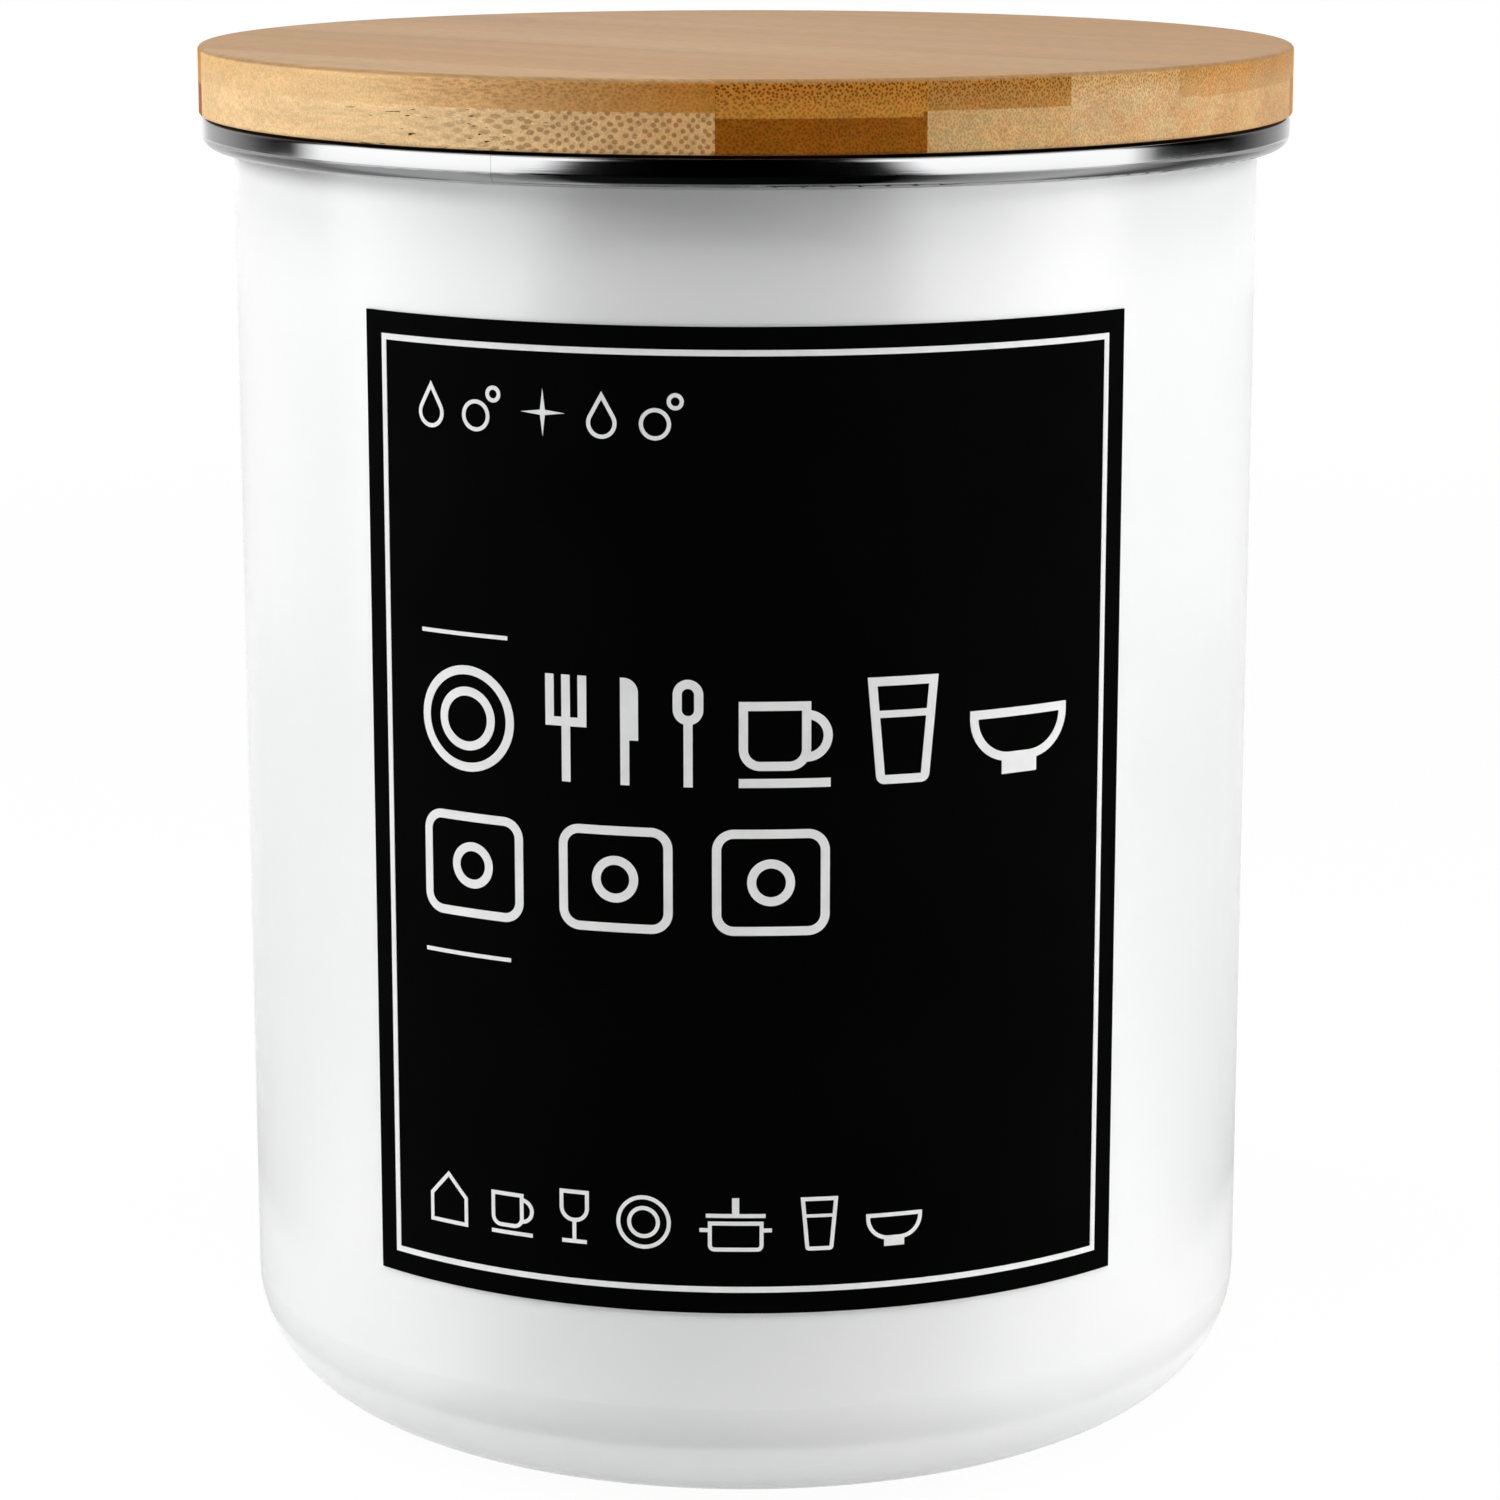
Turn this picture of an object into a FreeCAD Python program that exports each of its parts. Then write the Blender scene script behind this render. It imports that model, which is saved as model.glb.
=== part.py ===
import FreeCAD, Part
import math
import os

# Enamelled steel storage canister for dishwasher tablets, with a push-in bamboo lid.
#
# Millimetres, +Z up. The origin is the centre of the base, on the surface that the canister
# stands on. The label faces -Y, and +X is to its right.
#
# The can is drawn from one steel sheet and enamelled. Its mouth is turned out and down into a
# hem, and a polished stainless band is clinched over that hem. The lid is one turned disc of
# laminated bamboo with a plug below it, and a finned silicone seal sits in the plug's groove.

# Driving dimensions of the can
BODY_R = 51.6
WALL = 0.8
BASE_CORNER_R = 11.8
PANEL_R = 33.0
PANEL_RISE = 0.8
PANEL_SLOPE = 1.4
PANEL_BEND_R = 0.9

# The hem at the mouth and the stainless band over it
RIM_R = 54.75
RIM_TOP = 131.7
RIM_HEIGHT = 3.1
BAND_SHEET = 0.4
BAND_LEG = 8.0
BAND_TOP_R = 0.6
BAND_FOOT_R = 1.3
BAND_MOUTH_R = 1.6
TUCK_GAP = 0.1
HEM_END = 0.6
# A bend that stays hidden is drawn as a flat, which cuts this share of the radius off each side
HIDDEN_FLAT = 0.586

# The bamboo lid
LID_R = 55.0
LID_UNDERSIDE = 131.8
LID_THICKNESS = 6.8
LID_TOP_EDGE_R = 0.5
LID_LOWER_EDGE_R = 0.3
PLUG_R = 47.6
PLUG_DEPTH = 9.0
PLUG_BEVEL = 1.0
GROOVE_DEPTH = 2.0
GROOVE_HEIGHT = 4.2
GROOVE_BELOW_LID = 3.0

# The silicone seal, as the mouth holds its fins
SEAL_FIT = 0.3
SEAL_LAND = 0.3
FIN_THICKNESS = 0.8
FIN_RISE = 1.1
FIN_SPACING = 2.0
FIN_TIP = 0.35

# The vinyl label and the ink on it. Distances across the label are measured round the wall.
LABEL_WIDTH = 78.4
LABEL_LOW = 21.6
LABEL_HIGH = 116.0
LABEL_THICKNESS = 0.18
INK_THICKNESS = 0.06
FRAME_INSET = 2.1
FRAME_LINE = 0.57
MARGIN = -32.5
RULE_LENGTH = 9.6
RULE_LINE = 0.38
RULE_HEIGHTS = (86.2, 55.1)
BOLD_LINE = 0.85
FINE_LINE = 0.38

# Rows of small pictures on the label: lowest point, height, and where the row ends
WARE_ROW = (73.0, 10.2, 32.3)
TABLET_ROW = (58.8, 10.2, 7.9)
BUBBLE_ROW = (105.5, 4.4, -5.6)
HOME_ROW = (27.8, 5.3, 17.1)

# How far a drawing is pushed through the ink layer to cut its shape out of it
PRESS_DEPTH = 4.0

LABEL_R = BODY_R + LABEL_THICKNESS
INK_R = LABEL_R + INK_THICKNESS
TINY = 1e-6


def point(x, z):
    """A point in the XZ plane, where every section and picture is drawn."""
    return FreeCAD.Vector(x, 0, z)


# ---- Sections and turned shapes ----

def corner_arc(before, corner, after, radius):
    """Start, middle and end of the arc that rounds a corner between two straight sides."""
    back = (before - corner).normalize()
    onward = (after - corner).normalize()
    half_angle = back.getAngle(onward) / 2
    inward = (back + onward).normalize()
    setback = radius / math.tan(half_angle)
    centre = corner + inward * (radius / math.sin(half_angle))
    return corner + back * setback, centre - inward * radius, corner + onward * setback


def rounded_face(corners):
    """A flat face from corners (x, z) or (x, z, radius), each rounded to its radius."""
    places = [point(corner[0], corner[1]) for corner in corners]
    edges = []
    ends = []
    for i, corner in enumerate(corners):
        if len(corner) == 2:
            ends.append((places[i], places[i]))
            continue
        following = places[(i + 1) % len(places)]
        start, middle, end = corner_arc(places[i - 1], places[i], following, corner[2])
        edges.append(Part.Arc(start, middle, end).toShape())
        ends.append((start, end))
    for i, (start, end) in enumerate(ends):
        next_start = ends[(i + 1) % len(ends)][0]
        if end.distanceToPoint(next_start) > TINY:
            edges.append(Part.makeLine(end, next_start))
    return Part.Face(Part.Wire(Part.__sortEdges__(edges)))


def turned(corners, angle=360):
    """The solid swept by a section of (radius, height) corners round the Z axis."""
    section = rounded_face(corners)
    return section.revolve(FreeCAD.Vector(0, 0, 0), FreeCAD.Vector(0, 0, 1), angle)


# ---- The can and its rim ----

def canister_body():
    """Drawn can: recessed base panel, rounded base corner, straight wall and hemmed mouth."""
    inner_r = BODY_R - WALL
    hem_top = RIM_TOP - BAND_SHEET
    hem_r = RIM_R - BAND_SHEET
    hem_bridge = hem_top - WALL
    hem_low = RIM_TOP - RIM_HEIGHT + BAND_SHEET + HEM_END
    hem_flat = HIDDEN_FLAT * WALL
    mouth_flat = HIDDEN_FLAT * (BAND_MOUTH_R - BAND_SHEET)
    slope_foot = PANEL_R + PANEL_SLOPE
    return turned([
        (0, PANEL_RISE),
        (PANEL_R, PANEL_RISE, PANEL_BEND_R + WALL),
        (slope_foot, 0, PANEL_BEND_R),
        (BODY_R, 0, BASE_CORNER_R),
        (BODY_R, hem_bridge),
        (hem_r - WALL, hem_bridge),
        (hem_r - WALL, hem_low),
        (hem_r, hem_low),
        (hem_r, hem_top - hem_flat),
        (hem_r - hem_flat, hem_top),
        (inner_r + mouth_flat, hem_top),
        (inner_r, hem_top - mouth_flat),
        (inner_r, WALL, BASE_CORNER_R - WALL),
        (slope_foot, WALL, PANEL_BEND_R + WALL),
        (PANEL_R, WALL + PANEL_RISE, PANEL_BEND_R),
        (0, WALL + PANEL_RISE),
    ])


def rim_band():
    """Stainless band: a leg down inside the mouth, over the hem, and tucked in below it."""
    inner_r = BODY_R - WALL
    mouth_r = inner_r - BAND_SHEET
    leg_end = RIM_TOP - BAND_LEG
    band_low = RIM_TOP - RIM_HEIGHT
    tuck_r = BODY_R + TUCK_GAP
    foot_flat = HIDDEN_FLAT * (BAND_FOOT_R - BAND_SHEET)
    mouth_flat = HIDDEN_FLAT * (BAND_MOUTH_R - BAND_SHEET)
    return turned([
        (inner_r, leg_end),
        (mouth_r, leg_end),
        (mouth_r, RIM_TOP, BAND_MOUTH_R),
        (RIM_R, RIM_TOP, BAND_TOP_R),
        (RIM_R, band_low, BAND_FOOT_R),
        (tuck_r, band_low),
        (tuck_r, band_low + BAND_SHEET),
        (RIM_R - BAND_SHEET - foot_flat, band_low + BAND_SHEET),
        (RIM_R - BAND_SHEET, band_low + BAND_SHEET + foot_flat),
        (RIM_R - BAND_SHEET, RIM_TOP - BAND_SHEET),
        (inner_r + mouth_flat, RIM_TOP - BAND_SHEET),
        (inner_r, RIM_TOP - BAND_SHEET - mouth_flat),
    ])


# ---- The lid and its seal ----

def bamboo_lid():
    """Turned lid: an overhanging disc with eased edges, and a plug with a groove round it."""
    top = LID_UNDERSIDE + LID_THICKNESS
    plug_low = LID_UNDERSIDE - PLUG_DEPTH
    groove_top = LID_UNDERSIDE - GROOVE_BELOW_LID
    groove_low = groove_top - GROOVE_HEIGHT
    groove_r = PLUG_R - GROOVE_DEPTH
    return turned([
        (0, top),
        (LID_R, top, LID_TOP_EDGE_R),
        (LID_R, LID_UNDERSIDE, LID_LOWER_EDGE_R),
        (PLUG_R, LID_UNDERSIDE),
        (PLUG_R, groove_top),
        (groove_r, groove_top),
        (groove_r, groove_low),
        (PLUG_R, groove_low),
        (PLUG_R, plug_low + PLUG_BEVEL),
        (PLUG_R - PLUG_BEVEL, plug_low),
        (0, plug_low),
    ])


def seal_fin(root_low, root_r, tip_r):
    """One fin of the seal, which slopes up from its root and thins towards its tip."""
    return turned([
        (root_r, root_low),
        (tip_r, root_low + FIN_RISE),
        (tip_r, root_low + FIN_RISE + FIN_TIP),
        (root_r, root_low + FIN_THICKNESS),
    ])


def lid_seal():
    """Silicone ring that fills the groove, with two fins that bear on the band's leg."""
    low = LID_UNDERSIDE - GROOVE_BELOW_LID - GROOVE_HEIGHT
    high = low + GROOVE_HEIGHT
    groove_r = PLUG_R - GROOVE_DEPTH
    land_r = PLUG_R + SEAL_LAND
    tip_r = BODY_R - WALL - BAND_SHEET - SEAL_FIT
    seal = turned([(groove_r, low), (land_r, low), (land_r, high), (groove_r, high)])
    fins_height = FIN_SPACING + FIN_THICKNESS
    first_root = (low + high - fins_height) / 2 - FIN_RISE / 2
    for i in range(2):
        root_low = first_root + FIN_SPACING * i
        seal = seal.fuse(seal_fin(root_low, land_r - SEAL_LAND, tip_r))
    return seal.removeSplitter()


# ---- The label and its ink ----

def wall_patch(inner_r, outer_r, left, right, low, high):
    """A curved sheet against the wall, between two distances round it and two heights."""
    sheet_angle = math.degrees((right - left) / BODY_R)
    start_angle = math.degrees(left / BODY_R) - 90
    patch = turned([(inner_r, low), (outer_r, low), (outer_r, high), (inner_r, high)], sheet_angle)
    return patch.rotate(FreeCAD.Vector(0, 0, 0), FreeCAD.Vector(0, 0, 1), start_angle)


def ink_patch(left, right, low, high):
    """A printed rectangle on the label."""
    return wall_patch(LABEL_R, INK_R, left, right, low, high)


def front_label():
    """The black vinyl sheet, wrapped round the front of the wall."""
    return wall_patch(BODY_R, LABEL_R, -LABEL_WIDTH / 2, LABEL_WIDTH / 2, LABEL_LOW, LABEL_HIGH)


def ink_frame():
    """The thin line that runs all round the label, inside its edge."""
    side = LABEL_WIDTH / 2 - FRAME_INSET
    low = LABEL_LOW + FRAME_INSET
    high = LABEL_HIGH - FRAME_INSET
    line = FRAME_LINE
    outside = ink_patch(-side, side, low, high)
    return outside.cut(ink_patch(line - side, side - line, low + line, high - line))


def ink_rules():
    """The two short rules above and below the middle rows."""
    half = RULE_LINE / 2
    return [ink_patch(MARGIN, MARGIN + RULE_LENGTH, z - half, z + half) for z in RULE_HEIGHTS]


# ---- Small line pictures, drawn flat: standing on z = 0 and centred on x = 0 ----

def disc(x, z, radius):
    """A filled circle."""
    return Part.Face(Part.Wire(Part.makeCircle(radius, point(x, z), FreeCAD.Vector(0, 1, 0))))


def ring(x, z, radius, line):
    """A circle drawn with a line of this width inside its radius."""
    return disc(x, z, radius).cut(disc(x, z, radius - line))


def outlined(face, line):
    """The border of a flat face, as wide as the line."""
    return face.cut(face.makeOffset2D(-line))


def bar(x, low, high, line):
    """An upright stroke centred on x."""
    return rounded_face([(x - line / 2, low), (x + line / 2, low), (x + line / 2, high),
                         (x - line / 2, high)])


def shelf(z, width, line, x=0):
    """A level stroke with its lower side at z."""
    return rounded_face([(x - width / 2, z), (x + width / 2, z), (x + width / 2, z + line),
                         (x - width / 2, z + line)])


def joined(faces):
    """Several flat faces fused into one drawing."""
    drawing = faces[0].multiFuse(faces[1:])
    return drawing.removeSplitter()


def plate(height, line):
    """A plate seen from above: its edge and its well."""
    middle = height / 2
    return Part.makeCompound([ring(0, middle, middle, line), ring(0, middle, height * 0.3, line)])


def bowl(height, line):
    """A round bowl on a small foot."""
    width = height * 1.05
    foot = height * 0.12
    body_high = height * 0.62
    basin = rounded_face([(-width / 2, body_high), (-width / 2, foot, width * 0.4),
                          (width / 2, foot, width * 0.4), (width / 2, body_high)])
    return joined([outlined(basin, line), shelf(0, width * 0.36, foot + line / 2)])


def cup(height, line):
    """A cup with a ring handle on its right side, on a saucer."""
    width = height * 0.66
    high = height * 0.8
    left = -height * 0.42
    right = left + width
    saucer = shelf(0, height * 0.84, line)
    foot = line * 1.9
    body = rounded_face([(left, high), (left, foot, width * 0.3), (right, foot, width * 0.3),
                         (right, high)])
    handle = ring(right - line / 2, high * 0.6, height * 0.24, line).cut(body)
    return joined([outlined(body, line), saucer] + handle.Faces)


def tumbler(height, line):
    """A straight glass, a little narrower at its foot, with its water line."""
    top = height * 0.34
    foot = height * 0.25
    glass = rounded_face([(-top, height), (-foot, 0, line), (foot, 0, line), (top, height)])
    water = shelf(height * 0.62, height * 0.5, line * 0.8)
    return joined([outlined(glass, line), water])


def wine_glass(height, line):
    """A stemmed glass: a rounded bowl, a thin stem and a foot."""
    width = height * 0.56
    bowl_low = height * 0.4
    basin = rounded_face([(-width / 2, height), (-width / 2, bowl_low, width * 0.48),
                          (width / 2, bowl_low, width * 0.48), (width / 2, height)])
    return joined([outlined(basin, line), bar(0, line / 2, bowl_low + line / 2, line),
                   shelf(0, width * 0.84, line)])


def fork(height, line):
    """A fork with three tines."""
    spread = line * 1.9
    neck = height * 0.52
    tines = [bar(x, neck, height, line) for x in (-spread, 0, spread)]
    return joined(tines + [shelf(neck, spread * 2 + line, line), bar(0, 0, neck + line / 2, line)])


def knife(height, line):
    """A table knife with a rounded blade."""
    choil = height * 0.42
    blade = rounded_face([(-line, choil), (line, choil), (line, height, line * 1.6),
                          (-line, height)])
    return joined([blade, bar(-line / 2, 0, choil + line / 2, line)])


def spoon(height, line):
    """A spoon with an open bowl."""
    half = height * 0.14
    low = height * 0.58
    basin = rounded_face([(-half, low, half), (half, low, half), (half, height, half),
                          (-half, height, half)])
    return joined([outlined(basin, line), bar(0, 0, low + line / 2, line)])


def pan(height, line):
    """A lidded pan with two side handles and a knob."""
    half = height * 0.5
    brim = height * 0.56
    body = rounded_face([(-half, brim), (-half, 0, line * 1.6), (half, 0, line * 1.6), (half, brim)])
    grips = shelf(height * 0.36, height * 1.3, line).cut(body)
    lid = shelf(brim + line, half * 2 + line, line)
    knob = bar(0, brim + line, height, line * 1.8)
    return Part.makeCompound([joined([outlined(body, line)] + grips.Faces), joined([lid, knob])])


def tablet(height, line):
    """A dishwasher tablet: a rounded block with a ball pressed into its middle."""
    half = height * 0.54
    radius = height * 0.2
    block = rounded_face([(-half, 0, radius), (half, 0, radius), (half, height, radius),
                          (-half, height, radius)])
    return Part.makeCompound([outlined(block, line), ring(0, height / 2, height * 0.22, line)])


def droplet(height, line):
    """A drop of water: a round belly drawn up to a point."""
    radius = height * 0.33
    reach = height - radius
    lean = math.acos(radius / reach)
    tangent = point(radius * math.sin(lean), radius + radius * math.cos(lean))
    mirrored = point(-tangent.x, tangent.z)
    tip = point(0, height)
    belly = Part.Arc(tangent, point(0, 0), mirrored).toShape()
    sides = [Part.makeLine(mirrored, tip), Part.makeLine(tip, tangent)]
    return outlined(Part.Face(Part.Wire([belly] + sides)), line)


def bubbles(height, line):
    """A large bubble with a small one at its shoulder."""
    big = height * 0.34
    small = height * 0.18
    return Part.makeCompound([ring(-small / 2, big, big, line),
                              ring(big, height - small, small, line)])


def sparkle(height, line):
    """A four-pointed glint."""
    reach = height / 2
    waist = line * 0.9
    corners = []
    for i in range(4):
        turn = math.pi / 2 * i
        corners.append((reach * math.sin(turn), reach + reach * math.cos(turn)))
        between = turn + math.pi / 4
        corners.append((waist * math.sin(between), reach + waist * math.cos(between)))
    return rounded_face(corners)


def house(height, line):
    """A plain house front with a pitched roof."""
    half = height * 0.42
    eaves = height * 0.55
    return outlined(rounded_face([(-half, 0), (half, 0), (half, eaves), (0, height),
                                  (-half, eaves)]), line)


def pressed_on(drawing, across, low):
    """A flat drawing laid on the label as ink, centred at a distance round the wall."""
    in_front = FreeCAD.Vector(0, -INK_R - PRESS_DEPTH / 2, low)
    prism = drawing.translated(in_front).extrude(FreeCAD.Vector(0, PRESS_DEPTH, 0))
    ink = prism.common(INK_SHELL)
    turn = math.degrees(across / BODY_R)
    return ink.rotate(FreeCAD.Vector(0, 0, 0), FreeCAD.Vector(0, 0, 1), turn)


def ink_row(pictures, row, line):
    """Pictures spread evenly along a row, from the left margin to the row's end."""
    low, height, row_end = row
    drawings = [picture(height, line) for picture in pictures]
    widths = [drawing.BoundBox.XLength for drawing in drawings]
    gap = (row_end - MARGIN - sum(widths)) / (len(drawings) - 1)
    placed = []
    left = MARGIN
    for drawing, width in zip(drawings, widths):
        across = left - drawing.BoundBox.XMin
        placed.append(pressed_on(drawing, across, low))
        left += width + gap
    return placed


def label_print():
    """All the white ink on the label, as one layer of separate marks."""
    marks = [ink_frame()] + ink_rules()
    marks += ink_row([plate, fork, knife, spoon, cup, tumbler, bowl], WARE_ROW, BOLD_LINE)
    marks += ink_row([tablet] * 3, TABLET_ROW, BOLD_LINE)
    marks += ink_row([droplet, bubbles, sparkle, droplet, bubbles], BUBBLE_ROW, FINE_LINE)
    marks += ink_row([house, cup, wine_glass, plate, pan, tumbler, bowl], HOME_ROW, FINE_LINE)
    solids = [solid for mark in marks for solid in mark.Solids]
    return Part.makeCompound(solids)


INK_SHELL = turned([(LABEL_R, LABEL_LOW), (INK_R, LABEL_LOW), (INK_R, LABEL_HIGH),
                    (LABEL_R, LABEL_HIGH)])

NODES = {
    "canister_body": canister_body,
    "rim_band": rim_band,
    "front_label": front_label,
    "label_print": label_print,
    "bamboo_lid": bamboo_lid,
    "lid_seal": lid_seal,
}

os.makedirs("parts", exist_ok=True)
for name, build in NODES.items():
    shape = build()
    shape.exportStep("parts/" + name + ".step")
    print(name, "solids", len(shape.Solids), "volume", round(shape.Volume, 1), "valid", shape.isValid())
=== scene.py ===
# %% [markdown]
# # A tablet canister: enamelled can, steel rim, bamboo lid and wrapped label
#
# Nothing here moves or resizes it. This notebook gives each CAD piece its finish, builds the
# small studio around it, and sets the camera.

# %% Load the frame
import bpy
import math
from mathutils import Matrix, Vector
from types import SimpleNamespace


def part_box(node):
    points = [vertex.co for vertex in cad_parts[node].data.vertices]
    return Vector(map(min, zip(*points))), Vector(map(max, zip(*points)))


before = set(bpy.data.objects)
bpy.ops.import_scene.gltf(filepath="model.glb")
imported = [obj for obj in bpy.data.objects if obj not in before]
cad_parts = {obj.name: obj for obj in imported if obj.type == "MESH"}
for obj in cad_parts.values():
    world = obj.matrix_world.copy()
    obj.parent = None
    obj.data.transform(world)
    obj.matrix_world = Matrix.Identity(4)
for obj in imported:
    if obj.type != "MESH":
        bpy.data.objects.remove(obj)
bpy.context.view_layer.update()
MM = 0.001

# %% [markdown]
# ## Measuring the pieces
#
# The finishes follow the real shape, so they need a few of its sizes. Half its width is
# the radius of a turned piece.

# %% Measure the lid and the rim
lid_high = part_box("bamboo_lid")[1]
rim_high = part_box("rim_band")[1]
LID_RADIUS = round(lid_high.x / MM, 2)
LID_TOP = round(lid_high.z / MM, 2)
RIM_RADIUS = round(rim_high.x / MM, 2)
RIM_TOP = round(rim_high.z / MM, 2)
print("lid radius", LID_RADIUS, "and top", LID_TOP, "mm; rim radius", RIM_RADIUS, "and top", RIM_TOP)

# %% [markdown]
# ## Small helpers for building materials
#
# A material is a tree of nodes. Building one by hand takes many lines, so a few short helpers
# do the repeated work: `put` adds a node and fills its inputs with values or links, and `maths`
# adds one sum. Each of them returns something that the next node can be linked to.

# %% Nodes and sums
def put(tree, kind, settings=None, **inputs):
    """Adds a node; each input is named with _ for a space and takes a value or a socket."""
    node = tree.nodes.new(kind)
    for name, value in (settings or {}).items():
        setattr(node, name, value)
    for name, value in inputs.items():
        fill(tree, node.inputs[name.replace("_", " ")], value)
    return node


def fill(tree, socket, value):
    """Links a socket into another, or sets it to a plain value."""
    if isinstance(value, bpy.types.NodeSocket):
        tree.links.new(value, socket)
    else:
        socket.default_value = value


def maths(tree, operation, first, second=0.0, third=0.0):
    """One step of arithmetic on values."""
    node = put(tree, "ShaderNodeMath", {"operation": operation})
    for socket, value in zip(node.inputs, (first, second, third)):
        fill(tree, socket, value)
    return node.outputs[0]


def times(tree, first, *others):
    """Several values multiplied together."""
    for other in others:
        first = maths(tree, "MULTIPLY", first, other)
    return first


def opposite(tree, value):
    """What is left of one when a mask is taken away."""
    return maths(tree, "SUBTRACT", 1.0, value)


def between(tree, factor, first, second):
    """A value that goes from the first to the second as the factor goes from 0 to 1."""
    return maths(tree, "MULTIPLY_ADD", factor, maths(tree, "SUBTRACT", second, first), first)


# %% [markdown]
# Most masks are made by taking one value to another over a range. A range is written as (from,
# to, value at the first, value at the second), and a mask that simply rises from nought to one
# needs only the first two.

# %% Ranges
def soft_step(tree, value, low, high, out_low=0.0, out_high=1.0, kind="SMOOTHSTEP"):
    """Takes a value from one range to another, easing in and out, held at both ends."""
    node = put(tree, "ShaderNodeMapRange", {"interpolation_type": kind}, Value=value,
               From_Min=low, From_Max=high, To_Min=out_low, To_Max=out_high)
    return node.outputs["Result"]


def slope(tree, value, low, high, out_low=0.0, out_high=1.0):
    """As soft_step, but in a straight line."""
    return soft_step(tree, value, low, high, out_low, out_high, kind="LINEAR")


NOISE_KEEPS_TO = (0.3, 0.7)        # a noise rarely goes below or above these


def spread_noise(tree, noise, out_low, out_high):
    """Stretches a noise over a range of its own."""
    return slope(tree, noise, *NOISE_KEEPS_TO, out_low, out_high)


# %% [markdown]
# Colours are mixed by `blend`, stained by multiplying them with another colour, and picked from
# a list of marks by a colour ramp.

# %% Colours
def blend(tree, factor, first, second, kind="MIX"):
    """Mixes two colours by a factor."""
    node = put(tree, "ShaderNodeMix", {"data_type": "RGBA", "blend_type": kind})
    # A Mix node has sockets for every kind of data: 0 is the factor, 6 and 7 are two colours.
    for number, value in ((0, factor), (6, first), (7, second)):
        fill(tree, node.inputs[number], value)
    return node.outputs[2]


def stained(tree, colour, stain):
    """A colour multiplied by another."""
    return blend(tree, 1.0, colour, stain, "MULTIPLY")


def grey(value):
    """A colour with three equal parts."""
    return (value, value, value, 1.0)


def ramp_through(tree, value, marks, interpolation="LINEAR"):
    """A colour ramp through a list of (position, colour)."""
    ramp = put(tree, "ShaderNodeValToRGB", Fac=value)
    ramp.color_ramp.interpolation = interpolation
    stops = ramp.color_ramp.elements
    while len(stops) < len(marks):
        stops.new(0.5)
    for stop, (position, _) in zip(stops, marks):
        stop.position = position
    for stop, (_, colour) in zip(stops, marks):
        stop.color = colour
    return ramp


# %% [markdown]
# ## Effects that several finishes share
#
# Enamel, vinyl, ink, steel and silicone all have the same two small faults that make them look
# real: the surface is not quite flat, and its gloss is not quite even. Each fault is a shader
# node group with named inputs, so every material can use it with its own sizes. A third group
# gives the place on the piece in millimetres, which keeps every pattern at its true scale.

# %% Helpers for groups
def new_group(name, inputs, outputs):
    """An empty node group with its sockets, as (tree, its inputs, its output node)."""
    tree = bpy.data.node_groups.new(name, "ShaderNodeTree")
    for socket_name, kind, default in inputs:
        socket = tree.interface.new_socket(socket_name, in_out="INPUT", socket_type=kind)
        socket.default_value = default
    for socket_name, kind in outputs:
        tree.interface.new_socket(socket_name, in_out="OUTPUT", socket_type=kind)
    entry = tree.nodes.new("NodeGroupInput")
    exit_node = tree.nodes.new("NodeGroupOutput")
    return tree, entry.outputs, exit_node


def use_group(tree, group, **inputs):
    """Places a group in a tree and returns its output sockets."""
    node = put(tree, "ShaderNodeGroup", {"node_tree": group}, **inputs)
    return node.outputs


# %% [markdown]
# Here are the three groups. Blender's noise goes through one cycle in about one unit, so a
# cloud or a wave gets its size by dividing one by that size in millimetres.

# %% Shared node groups
def build_place_in_mm():
    """The point being shaded, in millimetres in the frame of the CAD model."""
    tree, _, result = new_group("place_in_mm", [], [("Place", "NodeSocketVector")])
    place = put(tree, "ShaderNodeTexCoord")
    scaled = put(tree, "ShaderNodeVectorMath", {"operation": "SCALE"},
                 Vector=place.outputs["Object"], Scale=1 / MM)
    tree.links.new(scaled.outputs["Vector"], result.inputs["Place"])
    return tree


def build_uneven_gloss():
    """A soft cloudy value between two limits."""
    tree, given, result = new_group(
        "uneven_gloss",
        [("Place", "NodeSocketVector", (0, 0, 0)), ("Cloud Size", "NodeSocketFloat", 20.0),
         ("Low", "NodeSocketFloat", 0.1), ("High", "NodeSocketFloat", 0.2)],
        [("Value", "NodeSocketFloat")])
    scale = maths(tree, "DIVIDE", 1.0, given["Cloud Size"])
    cloud = put(tree, "ShaderNodeTexNoise", Vector=given["Place"], Scale=scale, Detail=3.0)
    value = spread_noise(tree, cloud.outputs[0], given["Low"], given["High"])
    tree.links.new(value, result.inputs["Value"])
    return tree


def build_orange_peel():
    """The faint waviness of a fired, sprayed or rolled skin, as a height."""
    tree, given, result = new_group(
        "orange_peel",
        [("Place", "NodeSocketVector", (0, 0, 0)), ("Wave Size", "NodeSocketFloat", 2.0),
         ("Grit", "NodeSocketFloat", 0.2)],
        [("Height", "NodeSocketFloat")])
    scale = maths(tree, "DIVIDE", 1.0, given["Wave Size"])
    waves = put(tree, "ShaderNodeTexNoise", Vector=given["Place"], Scale=scale, Detail=1.0)
    grits_to_a_wave = 9.0
    fine_scale = maths(tree, "MULTIPLY", scale, grits_to_a_wave)
    grit = put(tree, "ShaderNodeTexNoise", Vector=given["Place"], Scale=fine_scale, Detail=2.0)
    height = maths(tree, "MULTIPLY_ADD", grit.outputs[0], given["Grit"], waves.outputs[0])
    tree.links.new(height, result.inputs["Height"])
    return tree


PLACE = build_place_in_mm()
UNEVEN_GLOSS = build_uneven_gloss()
ORANGE_PEEL = build_orange_peel()
print("shared groups:", [group.name for group in (PLACE, UNEVEN_GLOSS, ORANGE_PEEL)])


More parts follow.
